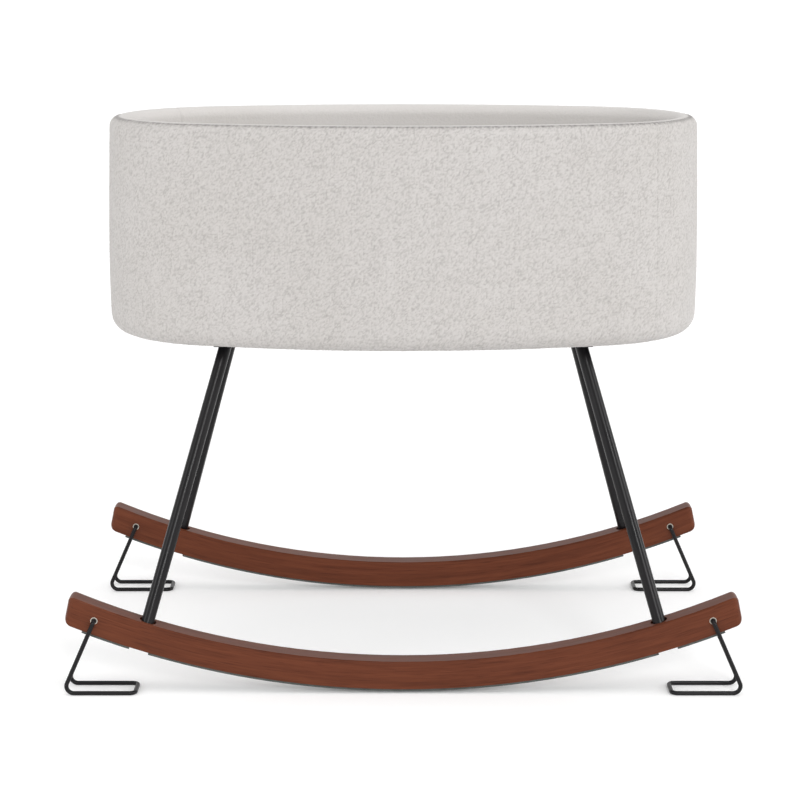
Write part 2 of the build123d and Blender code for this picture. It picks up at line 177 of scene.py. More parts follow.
# ---- plan outline and ring-shaped meshes ----
class Oval:
    """The basket's plan: two end arcs and two side arcs, all tangent, measured along their length."""

    def __init__(self, half_length, half_width, end_radius):
        self.end_x = half_length - end_radius
        self.half_width = half_width
        self.end_radius = end_radius
        rise = (self.end_x**2 + half_width**2 - end_radius**2) / (2 * (half_width - end_radius))
        self.side_radius = rise
        self.end_angle = math.atan2(rise - half_width, self.end_x)
        self.end_arc = 2 * self.end_angle * end_radius
        self.side_arc = 2 * (math.pi / 2 - self.end_angle) * rise
        self.length = 2 * (self.end_arc + self.side_arc)

    def point(self, distance):
        """Places and outward directions at distances from the middle of the right end, anticlockwise."""
        s = (np.asarray(distance, float) + self.end_arc / 2) % self.length
        half_turn = self.end_arc + self.side_arc
        second = s >= half_turn
        s = np.where(second, s - half_turn, s)
        on_end = s < self.end_arc
        angle_end = s / self.end_radius - self.end_angle
        angle_side = self.end_angle + (s - self.end_arc) / self.side_radius
        angle = np.where(on_end, angle_end, angle_side)
        normal = np.stack([np.cos(angle), np.sin(angle)], -1)
        centre_y = self.half_width - self.side_radius
        place_end = np.array([self.end_x, 0.0]) + self.end_radius * normal
        place_side = np.array([0.0, centre_y]) + self.side_radius * normal
        place = np.where(on_end[..., None], place_end, place_side)
        flip = np.where(second, -1.0, 1.0)[..., None]
        return place * flip, normal * flip


outline = Oval(HALF_LENGTH, HALF_WIDTH, END_RADIUS)


def arc(centre, radius, start, stop, step):
    """Points of a profile arc; angles in degrees, measured from the inset axis towards the height axis."""
    count = max(3, int(abs(math.radians(stop - start)) * radius / step) + 1)
    angles = np.radians(np.linspace(start, stop, count))
    return [(centre[0] + radius * math.cos(a), centre[1] + radius * math.sin(a)) for a in angles]


def run(start, stop, step):
    """Points of a straight stretch of profile, with both ends."""
    count = max(2, int(math.dist(start, stop) / step) + 1)
    return [tuple(p) for p in np.linspace(start, stop, count)]


def joined(*stretches):
    """One profile from several stretches, without doubled points."""
    points = []
    for stretch in stretches:
        for p in stretch:
            if not points or math.dist(points[-1], p) > 1e-6:
                points.append(p)
    return np.array(points)


def profile_normals(profile):
    """Directions to the left of travel, for a closed profile of (inset, height)."""
    ahead = np.roll(profile, -1, 0) - np.roll(profile, 1, 0)
    ahead /= np.linalg.norm(ahead, axis=1)[:, None]
    return np.stack([-ahead[:, 1], ahead[:, 0]], -1)


def lengths_along(points):
    """Distance of each point from the first one, measured along the line through them."""
    gaps = np.linalg.norm(np.diff(points, axis=0), axis=1)
    return np.concatenate([[0.0], np.cumsum(gaps)])


def new_object(name, vertices, faces):
    mesh = bpy.data.meshes.new(name)
    mesh.from_pydata(np.asarray(vertices).tolist(), [], faces)
    mesh.validate()
    mesh.polygons.foreach_set("use_smooth", np.ones(len(mesh.polygons), bool))
    thing = bpy.data.objects.new(name, mesh)
    bpy.context.scene.collection.objects.link(thing)
    return thing


def grid_faces(columns, rows):
    """Quads of a grid that closes on itself both ways; vertex number is column * rows + row."""
    c, r = np.meshgrid(np.arange(columns), np.arange(rows), indexing="ij")
    c2, r2 = (c + 1) % columns, (r + 1) % rows
    quads = np.stack([c * rows + r, c2 * rows + r, c2 * rows + r2, c * rows + r2], -1)
    return quads.reshape(-1, 4).tolist()


def ring(name, profile, step, displace):
    """A padded ring: a closed profile of (inset, height) carried round the oval.

    displace(around, along) returns the outward shift and a 0 to 1 tone with painted shade in it, which is
    kept as the attribute loop for the material to read.
    """
    columns = int(outline.length / step)
    rows = len(profile)
    around = np.arange(columns) * outline.length / columns
    place, outward = outline.point(around)
    leaning = profile_normals(profile)
    inset = np.broadcast_to(profile[:, 0], (columns, rows)).copy()
    height = np.broadcast_to(profile[:, 1], (columns, rows)).copy()
    u, v = np.meshgrid(around, lengths_along(profile), indexing="ij")
    shift, loop = displace(u, v)
    inset += shift * leaning[:, 0]
    height += shift * leaning[:, 1]
    xy = place[:, None, :] - outward[:, None, :] * inset[..., None]
    vertices = np.concatenate([xy, height[..., None]], -1).reshape(-1, 3)
    thing = new_object(name, vertices, grid_faces(columns, rows))
    attribute = thing.data.attributes.new("loop", "FLOAT", "POINT")
    attribute.data.foreach_set("value", loop.reshape(-1).astype(np.float32))
    return thing


def smooth_step(x, low, high):
    t = np.clip((x - low) / (high - low), 0, 1)
    return t * t * (3 - 2 * t)


def curls(u, v, length, size, seed):
    """Height, 0 to 1, of a field of small uneven curls over a surface that closes after length along u.

    Each cell of a jittered grid holds one spot. Some spots are a closed dome of yarn and the others an open
    curl with a dip in its middle. Sizes here are shares of a cell.
    """
    dome_radius, curl_radius, curl_width, curl_share, gap_width = 0.85, 0.36, 0.19, 0.45, 0.28
    rng = np.random.default_rng(seed)
    columns = int(length / size)
    rows = int(v.max() / size) + 5
    spots = rng.random((columns, rows, 4))
    cu = u / length * columns
    cv = v / size + 2
    iu = np.floor(cu).astype(int)
    iv = np.floor(cv).astype(int)
    nearest = np.full(u.shape, np.inf)
    second = np.full(u.shape, np.inf)
    kind = np.zeros(u.shape)
    tall = np.zeros(u.shape)
    for du in (-1, 0, 1):
        for dv in (-1, 0, 1):
            spot = spots[(iu + du) % columns, np.clip(iv + dv, 0, rows - 1)]
            away = np.hypot(cu - (iu + du + spot[..., 0]), cv - (iv + dv + spot[..., 1]))
            closer = away < nearest
            second = np.where(closer, nearest, np.minimum(second, away))
            kind = np.where(closer, spot[..., 2], kind)
            tall = np.where(closer, spot[..., 3], tall)
            nearest = np.where(closer, away, nearest)
    dome = np.clip(1 - (nearest / dome_radius)**2, 0, 1)
    curl = np.exp(-((nearest - curl_radius) / curl_width)**2)
    shape = np.where(kind < curl_share, curl, dome)
    gap = smooth_step(second - nearest, 0.0, gap_width)
    return shape * (0.35 + 0.65 * gap) * (0.55 + 0.45 * tall)


def waves(u, length, counts, seed):
    """Slow unevenness, about -1 to 1, along a closed length."""
    rng = np.random.default_rng(seed)
    total = np.zeros(np.shape(u))
    for count in counts:
        total += np.sin(2 * math.pi * (count * u / length + rng.random())) / len(counts)
    return total


# ---- upholstery ----
def cover_profile():
    """From the tuck under the board, up the outside, over the rim and down inside, then back behind."""
    low, high = cover_low.z, cover_high.z
    inner_stop = lining_high.z + JOINT_GAP
    hem = 0.002
    outside = joined(
        run((TUCK, low), (BOTTOM_RADIUS, low), MESH_STEP),
        arc((BOTTOM_RADIUS, low + BOTTOM_RADIUS), BOTTOM_RADIUS, 270, 180, MESH_STEP),
        run((0, low + BOTTOM_RADIUS), (0, high - RIM_RADIUS), MESH_STEP),
        arc((RIM_RADIUS, high - RIM_RADIUS), RIM_RADIUS, 180, 90, MESH_STEP),
        arc((WALL - RIM_RADIUS, high - RIM_RADIUS), RIM_RADIUS, 90, 0, MESH_STEP),
        run((WALL, high - RIM_RADIUS), (WALL, inner_stop + hem), MESH_STEP),
    )
    rim_step, bottom_step, wall_step = 0.006, 0.008, 0.02
    behind = joined(
        [(WALL - 0.4 * hem, inner_stop)],
        [(WALL - FABRIC - 0.5 * hem, inner_stop)],
        arc((WALL - RIM_RADIUS, high - RIM_RADIUS), RIM_RADIUS - FABRIC, 0, 90, rim_step),
        arc((RIM_RADIUS, high - RIM_RADIUS), RIM_RADIUS - FABRIC, 90, 180, rim_step),
        run((FABRIC, high - RIM_RADIUS), (FABRIC, low + BOTTOM_RADIUS), wall_step),
        arc((BOTTOM_RADIUS, low + BOTTOM_RADIUS), BOTTOM_RADIUS - FABRIC, 180, 270, bottom_step),
        [(TUCK, low + FABRIC)],
    )
    return outside, np.concatenate([outside, behind])


def join_places():
    """Where the upholstery's two upright seams stand, as distances round the oval."""
    first = outline.length - math.radians(JOIN_ANGLE) * END_RADIUS
    return first, first - outline.length / 2


def seam_groove(distance, places, width):
    """1 on a seam and 0 away from it."""
    return sum(np.exp(-((distance - place) / width)**2) for place in places)


def outer_cover():
    """Looped cover: curls, a swelling wall, two upright seams and a puckered seam along the rim."""
    outside, profile = cover_profile()
    face_length = lengths_along(outside)[-1]
    wall_start = TUCK - BOTTOM_RADIUS
    bottom_arc = math.pi / 2 * BOTTOM_RADIUS
    wall_height = cover_high.z - cover_low.z - BOTTOM_RADIUS - RIM_RADIUS
    to_rim = wall_start + bottom_arc + wall_height + math.radians(RIM_SEAM_ANGLE) * RIM_RADIUS
    length = outline.length

    def rim_marks(u, v):
        """How much the rim seam presses the cloth, and how much painted shade lies on the pile, both 0 to 1.
        """
        ragged = RIM_RAGGED * waves(u, length, (211, 307, 401), 9)
        turns = u / STITCH + STITCH_UNEVEN * waves(u, length, (83, 131), 10)
        pucker = (1 - PUCKER) + PUCKER * np.cos(2 * math.pi * turns)
        pressed = seam_groove(v + ragged, (to_rim,), RIM_SEAM_WIDTH) * pucker
        shaded = seam_groove(v + SHADE_RAGGED * ragged, (to_rim - RIM_SHADE_DROP,), RIM_SEAM_SHADE) * pucker
        return pressed, np.maximum(shaded, pressed)

    def displace(u, v):
        wander = WANDER * waves(u, length, (61, 97, 143), 5)
        height = curls(u + 0.3 * wander, v + wander, length, LOOP_SIZE, 11)
        fine = curls(u, v, length, FINE_LOOPS * LOOP_SIZE, 12)
        loop = (1 - FINE_SHARE) * height + FINE_SHARE * fine
        swell = np.sin(math.pi * np.clip((v - wall_start) / (to_rim - wall_start), 0, 1)**BULGE_LOW)
        slow = BULGE * swell + UNEVEN * waves(u, length, (5, 9, 14, 23), 7) * swell
        seam = seam_groove(u, join_places(), SEAM_WIDTH)
        rim_seam, rim_shade = rim_marks(u, v)
        inside = smooth_step(v, to_rim, to_rim + INNER_START)
        on_cloth = v <= face_length
        on_face = smooth_step(face_length - v, 0.0, FACE_FADE) * on_cloth * smooth_step(v, 0.0, FACE_FADE)
        pile = loop * LOOP_HEIGHT * (1 - (1 - INNER_LOOPS) * inside) * (1 - np.maximum(seam, rim_seam))
        shift = pile + slow - LOOP_SUNK - SEAM_DEPTH * seam - RIM_SEAM_DEPTH * rim_seam
        # low at a curl's foot: painted shade in the gaps; high inside the rim: painted light
        outer_tone, inner_tone = (foot + rise * loop for foot, rise in (PILE_TONES, INNER_TONES))
        cloth = outer_tone * (1 - inside) + inner_tone * inside
        # darker along the upright seams, and painted shade below the rim seam
        tone = cloth * (1 - SEAM_SHADE * seam) * (1 - rim_shade)
        return np.maximum(shift, -LOOP_FLOOR) * on_face, np.where(on_cloth, tone, HIDDEN_TONE)

    piece = ring("boucle_cover", profile, MESH_STEP, displace)
    piece.data.materials.append(boucle("boucle_fabric"))
    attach(piece, "frame")
    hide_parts("outer_cover")


def lining_piece():
    """Padded inner wall: soft upright fullness and the same two seams as the cover."""
    low, high = lining_low.z + LINING_START, lining_high.z - JOINT_GAP
    inside = joined(
        run((WALL, low), (WALL, high - LINING_ROLL), LINING_STEP),
        arc((WALL - LINING_ROLL, high - LINING_ROLL), LINING_ROLL, 0, 90, LINING_ROLL_STEP),
    )
    behind = [(LINING_BACK, high)] + run((LINING_BACK, high - 0.02), (LINING_BACK, low), LINING_BACK_STEP)
    profile = np.concatenate([inside, behind])[::-1]
    face_length = np.linalg.norm(np.diff(inside, axis=0), axis=1).sum()
    total = np.linalg.norm(np.diff(profile, axis=0), axis=1).sum()

    def displace(u, from_back):
        v = total - from_back
        height = curls(u, v, outline.length, LINING_LOOP_SIZE, 21)
        folds = waves(u, outline.length, (17, 31, 44), 23) * np.sin(math.pi * v / face_length)
        seam = seam_groove(u, join_places(), SEAM_WIDTH)
        on_cloth = v <= face_length
        on_face = smooth_step(face_length - v, 0.0, LINING_FADE) * on_cloth
        pile = LINING_LOOP_HEIGHT * height + FULLNESS * folds - LINING_SUNK
        shift = pile * (1 - seam) - SEAM_DEPTH * seam
        return shift * on_face, np.where(on_cloth, 0.5 + 0.5 * height, HIDDEN_TONE)

    piece = ring("wall_lining", profile, LINING_STEP, displace)
    # paler than the cover: painted light against the shade inside the basket
    cloth = boucle("lining_fabric", shaded_gap=(0.50, 0.487, 0.462), loop=(0.60, 0.583, 0.553))
    piece.data.materials.append(cloth)
    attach(piece, "frame")
    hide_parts("inner_lining")


def slab(name, low, high, inset, lower_roll, upper_roll):
    """A closed slab on the basket's plan, with its lower and upper edges rounded."""
    columns = int(outline.length / SLAB_STEP)
    place, outward = outline.point(np.arange(columns) * outline.length / columns)
    profile = joined(
        arc((inset + lower_roll, low + lower_roll), lower_roll, 270, 180, SLAB_ARC_STEP),
        run((inset, low + lower_roll), (inset, high - upper_roll), SLAB_STEP),
        arc((inset + upper_roll, high - upper_roll), upper_roll, 180, 90, SLAB_ARC_STEP),
    )
    rows = len(profile)
    xy = place[None] - outward[None] * profile[:, 0][:, None, None]
    height = np.broadcast_to(profile[:, 1][:, None, None], (rows, columns, 1))
    vertices = np.concatenate([xy, height], -1).reshape(-1, 3)
    faces = []
    for row in range(rows - 1):
        for column in range(columns):
            ahead = (column + 1) % columns
            faces.append([row * columns + column, row * columns + ahead,
                          (row + 1) * columns + ahead, (row + 1) * columns + column])
    faces.append(list(range(columns))[::-1])
    faces.append(list(range((rows - 1) * columns, rows * columns)))
    return new_object(name, vertices, faces)


def places(mesh):
    values = np.empty(3 * len(mesh.vertices))
    mesh.vertices.foreach_get("co", values)
    return values.reshape(-1, 3)


def use_modifiers(thing):
    """Bakes an object's modifiers into its mesh."""
    shape = thing.evaluated_get(bpy.context.evaluated_depsgraph_get())
    mesh = bpy.data.meshes.new_from_object(shape)
    thing.modifiers.clear()
    thing.data = mesh


def puff(thing, held, most, slack):
    """A short cloth simulation with air pressure inside.

    Held vertices stay, none moves further than most, and slack is how much too large the cloth is cut.
    """
    before = places(thing.data)
    group = thing.vertex_groups.new(name="held")
    group.add(held, 1.0, "REPLACE")
    cloth = thing.modifiers.new("puff", "CLOTH")
    settings = cloth.settings
    settings.quality = CLOTH_QUALITY
    settings.tension_stiffness = CLOTH_STIFFNESS
    settings.compression_stiffness = CLOTH_STIFFNESS
    settings.bending_stiffness = CLOTH_BENDING
    settings.use_pressure = True
    settings.uniform_pressure_force = PRESSURE
    settings.shrink_min = -slack
    settings.vertex_group_mass = group.name
    settings.effector_weights.gravity = 0.0
    cloth.point_cache.frame_start = 1
    cloth.point_cache.frame_end = CLOTH_FRAMES
    scene = bpy.context.scene
    for step in range(1, CLOTH_FRAMES + 1):
        scene.frame_set(step)
    shape = thing.evaluated_get(bpy.context.evaluated_depsgraph_get())
    moved = places(shape.data) - before
    reach = np.maximum(np.linalg.norm(moved, axis=1), 1e-9)[:, None]
    moved *= most * np.tanh(reach / most) / reach
    thing.modifiers.clear()
    thing.data.vertices.foreach_set("co", (before + moved).ravel())
    thing.data.update()
    scene.frame_set(1)


def mattress_piece():
    """Foam pad in a fitted sheet, puffed by a cloth simulation and then smoothed once."""
    low, high = mattress_low.z, mattress_high.z
    edge = HALF_LENGTH - mattress_high.x
    top = high - MATTRESS_PUFF
    piece = slab("fitted_mattress", low, top, edge + MATTRESS_INSET, MATTRESS_LOWER_ROLL, MATTRESS_UPPER_ROLL)
    remesh = piece.modifiers.new("even", "REMESH")
    remesh.mode = "VOXEL"
    remesh.voxel_size = SLAB_STEP
    use_modifiers(piece)
    shape = places(piece.data)
    plump = np.clip(1 - np.hypot(shape[:, 0] / mattress_high.x, shape[:, 1] / mattress_high.y)**3, 0, 1)
    shape[:, 2] += np.where(shape[:, 2] > top - CROWN_REACH, MATTRESS_CROWN * plump, 0.0)
    piece.data.vertices.foreach_set("co", shape.ravel())
    held = np.flatnonzero(shape[:, 2] < low + HELD_HEIGHT).tolist()
    puff(piece, held, MATTRESS_PUFF, SHEET_SLACK)
    smooth = piece.modifiers.new("smooth", "SUBSURF")
    smooth.levels = 1
    use_modifiers(piece)
    shape = places(piece.data)
    shape[:, 2] = np.maximum(shape[:, 2], low)
    piece.data.vertices.foreach_set("co", shape.ravel())
    piece.data.polygons.foreach_set("use_smooth", np.ones(len(piece.data.polygons), bool))
    piece.data.materials.clear()
    piece.data.materials.append(cotton("sheet_cotton"))
    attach(piece, "mattress")
    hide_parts("mattress_core", "mattress_cover")


def open_grid(columns, rows):
    """Quads of a grid that closes round its columns and is open at its first and last row."""
    return [face for face in grid_faces(columns, rows) if not (face[0] % rows == rows - 1)]


def merge_doubles(thing, reach):
    """Merges vertices closer than reach and turns every face outwards."""
    work = bmesh.new()
    work.from_mesh(thing.data)
    bmesh.ops.remove_doubles(work, verts=work.verts, dist=reach)
    bmesh.ops.dissolve_degenerate(work, edges=work.edges, dist=1e-6)
    bmesh.ops.recalc_face_normals(work, faces=work.faces)
    work.to_mesh(thing.data)
    work.free()
    thing.data.polygons.foreach_set("use_smooth", np.ones(len(thing.data.polygons), bool))


def staples(rim, outward, height):
    """Flat wire staples along the dust sheet's edge, in one mesh."""
    half = np.array([STAPLE_LENGTH / 2, STAPLE_WIRE / 2, STAPLE_WIRE / 2])
    corners = np.array([[x, y, z] for x in (-1, 1) for y in (-1, 1) for z in (-1, 1)]) * half
    sides = [[0, 1, 3, 2], [4, 6, 7, 5], [0, 4, 5, 1], [2, 3, 7, 6], [0, 2, 6, 4], [1, 5, 7, 3]]
    vertices, faces = [], []
    for (x, y), (nx, ny) in zip(rim, outward):
        start = len(vertices)
        for along, across, up in corners:
            vertices.append([x - ny * along + nx * across, y + nx * along + ny * across, height + up])
        faces += [[start + v for v in side] for side in sides]
    piece = new_object("dust_staples", vertices, faces)
    piece.data.polygons.foreach_set("use_smooth", np.zeros(len(faces), bool))
    piece.data.materials.append(zinc("staple_wire"))
    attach(piece, "frame")
    return piece


def dust_sheet():
    """Black cloth under the board: a thin closed sheet that laps the cover's edge and is held by staples."""
    edge = HALF_LENGTH - dust_high.x - DUST_LAP
    columns = DUST_STAPLES * DUST_COLUMNS
    place, outward = outline.point(np.arange(columns) * outline.length / columns)
    rim = place - outward * edge
    spine = np.column_stack([np.clip(rim[:, 0], -outline.end_x, outline.end_x), np.zeros(columns)])
    reach = np.linalg.norm(spine - rim, axis=1)
    pulled = -0.5 * np.cos(2 * math.pi * np.arange(columns) / DUST_COLUMNS)
    flat = (dust_low.z + dust_high.z) / 2
    lapped = cover_low.z - DUST_GAP - DUST_THICK / 2
    ways_in = [distance / reach for distance in DUST_NEAR] + [np.full(columns, share) for share in DUST_FAR]
    sides = {-1: [], 1: []}
    for t in ways_in:
        gone = t * reach
        xy = rim * (1 - t)[:, None] + spine * t[:, None]
        ripple = RIPPLE * pulled * np.exp(-gone / RIPPLE_FADE) * (gone < RIPPLE_END)
        middle = lapped + (flat - lapped) * smooth_step(gone, *DUST_RISE) - ripple
        for side in sides:
            sides[side].append(np.column_stack([xy, middle + side * DUST_THICK / 2]))
    stack = sides[-1][::-1] + sides[1]
    vertices = np.stack(stack, 1).reshape(-1, 3)
    piece = new_object("dust_sheet", vertices, open_grid(columns, len(stack)))
    merge_doubles(piece, DUST_THICK / 4)
    piece.data.materials.append(spunbond("dust_sheet_cloth"))
    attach(piece, "frame")
    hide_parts("dust_cloth")
    stapled = slice(DUST_COLUMNS // 2, None, DUST_COLUMNS)
    under = lapped - DUST_THICK / 2 - STAPLE_WIRE / 2
    holding = staples((rim - outward * STAPLE_INSET)[stapled], outward[stapled], under)


def weld_bead(x, y, z, lean):
    """Points of a lumpy bead round one leg's top; lean is the direction in plan towards the leg's foot."""
    stretch = 1 / math.cos(LEG_TILT)
    points = []
    for i in range(WELD_TURNS):
        turn = 2 * math.pi * i / WELD_TURNS
        lumps = sum(share * math.sin(turn * count + start) for count, share, start in WELD_LUMPS)
        fat = WELD_RADIUS * (1 + lumps)
        for j in range(WELD_ROLLS):
            roll = 2 * math.pi * j / WELD_ROLLS
            out = TUBE_RADIUS + fat * math.cos(roll)
            a, b = out * stretch * math.cos(turn), out * math.sin(turn)
            points.append([x + a * math.cos(lean) - b * math.sin(lean),
                           y + a * math.sin(lean) + b * math.cos(lean),
                           z + fat * math.sin(roll)])
    return points


def welds():
    """One bead of weld for each leg, where it meets the cross rail."""
    vertices, faces = [], []
    for end in ("left", "right"):
        for side in ("front", "back"):
            low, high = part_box(f"leg_{side}_{end}")
            x = low.x if end == "right" else high.x
            y = high.y if side == "front" else low.y
            lean = math.atan2(math.copysign(FOOT_Y - abs(y), y), math.copysign(LEG_FOOT_X - abs(x), x))
            start = len(vertices)
            vertices += weld_bead(x + math.copysign(TUBE_RADIUS, x), y + math.copysign(TUBE_RADIUS, y),
                                  high.z - WELD_DROP, lean)
            faces += [[start + v for v in face] for face in grid_faces(WELD_TURNS, WELD_ROLLS)]
    piece = new_object("leg_welds", vertices, faces)
    merge_doubles(piece, 1e-6)
    piece.data.materials.append(powder_coat("weld_powder_coat"))
    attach(piece, "frame")


# ---- materials ----
def start_material(name):
    material = bpy.data.materials.new(name)
    material.use_nodes = True
    return material, material.node_tree, material.node_tree.nodes["Principled BSDF"]


def node(tree, kind, inputs=None, **settings):
    made = tree.nodes.new(kind)
    for key, value in settings.items():
        setattr(made, key, value)
    for key, value in (inputs or {}).items():
        if isinstance(value, bpy.types.NodeSocket):
            tree.links.new(value, made.inputs[key])
        else:
            made.inputs[key].default_value = value
    return made


def ramp(tree, source, stops):
    """A colour ramp over source; stops are (place, colour)."""
    made = node(tree, "ShaderNodeValToRGB", {"Fac": source})
    elements = made.color_ramp.elements
    while len(elements) < len(stops):
        elements.new(0.5)
    for element, (place, colour) in zip(elements, stops):
        element.position = place
        element.color = (*colour, 1)
    return made.outputs["Color"]


def mix(tree, amount, a, b, blend="MIX"):
    made = node(tree, "ShaderNodeMix", data_type="RGBA", blend_type=blend)
    for socket, value in (("Factor", amount), ("A", a), ("B", b)):
        target = [i for i in made.inputs if i.name == socket and i.enabled][0]
        if isinstance(value, bpy.types.NodeSocket):
            tree.links.new(value, target)
        else:
            target.default_value = value if socket == "Factor" else (*value, 1)
    return [o for o in made.outputs if o.enabled][0]


def math_node(tree, operation, a, b=0.0):
    made = node(tree, "ShaderNodeMath", operation=operation)
    for index, value in enumerate((a, b)):
        if isinstance(value, bpy.types.NodeSocket):
            tree.links.new(value, made.inputs[index])
        else:
            made.inputs[index].default_value = value
    return made.outputs[0]


def noise(tree, place, scale, detail=3.0, roughness=0.5):
    made = node(tree, "ShaderNodeTexNoise", {
        "Vector": place, "Scale": scale, "Detail": detail, "Roughness": roughness})
    return made.outputs["Fac"]


def object_place(tree):
    return node(tree, "ShaderNodeTexCoord").outputs["Object"]


def bump(tree, shader, height, distance, strength=1.0, under=None):
    made = node(tree, "ShaderNodeBump", {"Height": height, "Distance": distance, "Strength": strength})
    if under:
        tree.links.new(under, made.inputs["Normal"])
    tree.links.new(made.outputs["Normal"], shader.inputs["Normal"])
    return made.outputs["Normal"]


def boucle(name, shaded_gap=(0.392, 0.373, 0.360), loop=(0.574, 0.553, 0.538)):
    """Looped off-white yarn: paler on the curls, with painted shade in the gaps and a fuzz of fine fibres."""
    material, tree, shader = start_material(name)
    place = object_place(tree)
    height = node(tree, "ShaderNodeAttribute", attribute_name="loop").outputs["Fac"]
    # the darkest stop: painted shade below the rim seam, also reached along the upright seams
    seam = tuple(0.52 * a for a in shaded_gap)
    middle = tuple(0.30 * a + 0.70 * b for a, b in zip(shaded_gap, loop))
    # a stop paler than the curls' tops, for the painted light inside the rim
    lit_inside = tuple(1.08 * a for a in loop)
    colour = ramp(tree, height, [(0.0, seam), (0.30, shaded_gap), (0.52, middle), (0.80, loop), (0.92, lit_inside)])
    fibres = noise(tree, place, 1100.0, 2.0)
    yarn = noise(tree, place, 320.0, 3.0)
    cloudy = noise(tree, place, 7.0, 2.0)
    fibre_tone = ramp(tree, fibres, [(0.3, (0.93, 0.93, 0.93)), (0.7, (1.04, 1.04, 1.04))])
    cloud_tone = ramp(tree, cloudy, [(0.3, (0.965, 0.962, 0.955)), (0.7, (1.0, 1.0, 1.0))])
    colour = mix(tree, 1.0, colour, fibre_tone, "MULTIPLY")
    colour = mix(tree, 1.0, colour, cloud_tone, "MULTIPLY")
    tree.links.new(colour, shader.inputs["Base Color"])
    shader.inputs["Roughness"].default_value = 0.96
    shader.inputs["Specular IOR Level"].default_value = 0.15
    shader.inputs["Sheen Weight"].default_value = 0.18
    shader.inputs["Sheen Roughness"].default_value = 0.45
    rough = bump(tree, shader, yarn, 0.0011, 0.55)
    bump(tree, shader, fibres, 0.0004, 0.5, rough)
    return material


def cotton(name):
    """Plain-woven white cotton with its threads, slightly uneven."""
    material, tree, shader = start_material(name)
    place = object_place(tree)
    threads = {"Vector": place, "Scale": 520.0, "Distortion": 0.8}
    warp = node(tree, "ShaderNodeTexWave", threads, bands_direction="X")
    weft = node(tree, "ShaderNodeTexWave", threads, bands_direction="Y")
    weave = math_node(tree, "ADD", warp.outputs["Fac"], weft.outputs["Fac"])
    slub = noise(tree, place, 60.0, 4.0)
    colour = ramp(tree, slub, [(0.3, (0.64, 0.635, 0.62)), (0.7, (0.69, 0.685, 0.675))])
    tree.links.new(colour, shader.inputs["Base Color"])
    shader.inputs["Roughness"].default_value = 0.9
    shader.inputs["Specular IOR Level"].default_value = 0.2
    shader.inputs["Sheen Weight"].default_value = 0.1
    rough = bump(tree, shader, slub, 0.0008, 0.3)
    bump(tree, shader, weave, 0.0002, 0.5, rough)
    return material


def rocker_wood(name):
    """Red-brown stained hardwood, bent so that its grain follows the rocker, under satin lacquer."""
    material, tree, shader = start_material(name)
    place = object_place(tree)
    split = node(tree, "ShaderNodeSeparateXYZ", {"Vector": place})
    drop = math_node(tree, "SUBTRACT", ARC_CENTRE_Z, split.outputs["Z"])
    angle = math_node(tree, "ARCTAN2", split.outputs["X"], drop)
    along = math_node(tree, "MULTIPLY", angle, ARC_RADIUS)
    squares = math_node(tree, "ADD", math_node(tree, "MULTIPLY", split.outputs["X"], split.outputs["X"]),
                        math_node(tree, "MULTIPLY", drop, drop))
    radial = math_node(tree, "SQRT", squares)

    def scaled(lengthwise, across, radially):
        """A place in the bent board, scaled along its curve, across it and away from the curve's centre."""
        return node(tree, "ShaderNodeCombineXYZ", {
            "X": math_node(tree, "MULTIPLY", along, lengthwise),
            "Y": math_node(tree, "MULTIPLY", split.outputs["Y"], across),
            "Z": math_node(tree, "MULTIPLY", radial, radially),
        }).outputs[0]

    grain_place = scaled(1.6, 26.0, 34.0)
    pore_place = scaled(26.0, 900.0, 900.0)
    figure = noise(tree, grain_place, 3.2, 6.0, 0.62)
    streaks = noise(tree, grain_place, 11.0, 4.0, 0.55)
    pores = noise(tree, pore_place, 1.0, 2.0, 0.5)
    colour = ramp(tree, figure, [
        (0.28, (0.088, 0.0225, 0.0095)),
        (0.50, (0.116, 0.031, 0.0130)),
        (0.74, (0.142, 0.040, 0.0175)),
    ])
    streak_tone = ramp(tree, streaks, [(0.35, (0.88, 0.86, 0.84)), (0.65, (1.06, 1.06, 1.06))])
    pore_tone = ramp(tree, pores, [(0.30, (0.62, 0.58, 0.56)), (0.42, (1.0, 1.0, 1.0))])
    colour = mix(tree, 1.0, colour, streak_tone, "MULTIPLY")
    colour = mix(tree, 0.8, colour, pore_tone, "MULTIPLY")
    tree.links.new(colour, shader.inputs["Base Color"])
    rough = ramp(tree, streaks, [(0.3, (0.36, 0.36, 0.36)), (0.7, (0.46, 0.46, 0.46))])
    tree.links.new(rough, shader.inputs["Roughness"])
    shader.inputs["Specular IOR Level"].default_value = 0.14
    shader.inputs["Coat Weight"].default_value = 0.03
    shader.inputs["Coat Roughness"].default_value = 0.25
    bump(tree, shader, pores, 0.00015, 0.5)
    return material


def powder_coat(name):
    """Satin black powder coat: faint orange peel and uneven gloss."""
    material, tree, shader = start_material(name)
    place = object_place(tree)
    peel = noise(tree, place, 620.0, 2.0)
    handled = noise(tree, place, 14.0, 4.0)
    colour = ramp(tree, handled, [(0.3, (0.0055, 0.005, 0.0058)), (0.7, (0.0095, 0.0085, 0.0095))])
    tree.links.new(colour, shader.inputs["Base Color"])
    gloss = ramp(tree, handled, [(0.3, (0.26, 0.26, 0.26)), (0.7, (0.36, 0.36, 0.36))])
    tree.links.new(gloss, shader.inputs["Roughness"])
    shader.inputs["Specular IOR Level"].default_value = 0.22
    bump(tree, shader, peel, 0.00012, 0.5)
    return material


def zinc(name):
    """Bright zinc plating with a cloudy, faintly brushed surface."""
    material, tree, shader = start_material(name)
    place = object_place(tree)
    cloudy = noise(tree, place, 260.0, 4.0)
    colour = ramp(tree, cloudy, [(0.3, (0.44, 0.44, 0.43)), (0.7, (0.60, 0.60, 0.585))])
    tree.links.new(colour, shader.inputs["Base Color"])
    gloss = ramp(tree, cloudy, [(0.3, (0.24, 0.24, 0.24)), (0.7, (0.42, 0.42, 0.42))])
    tree.links.new(gloss, shader.inputs["Roughness"])
    shader.inputs["Metallic"].default_value = 1.0
    bump(tree, shader, noise(tree, place, 1500.0, 2.0), 0.00005, 0.4)
    return material


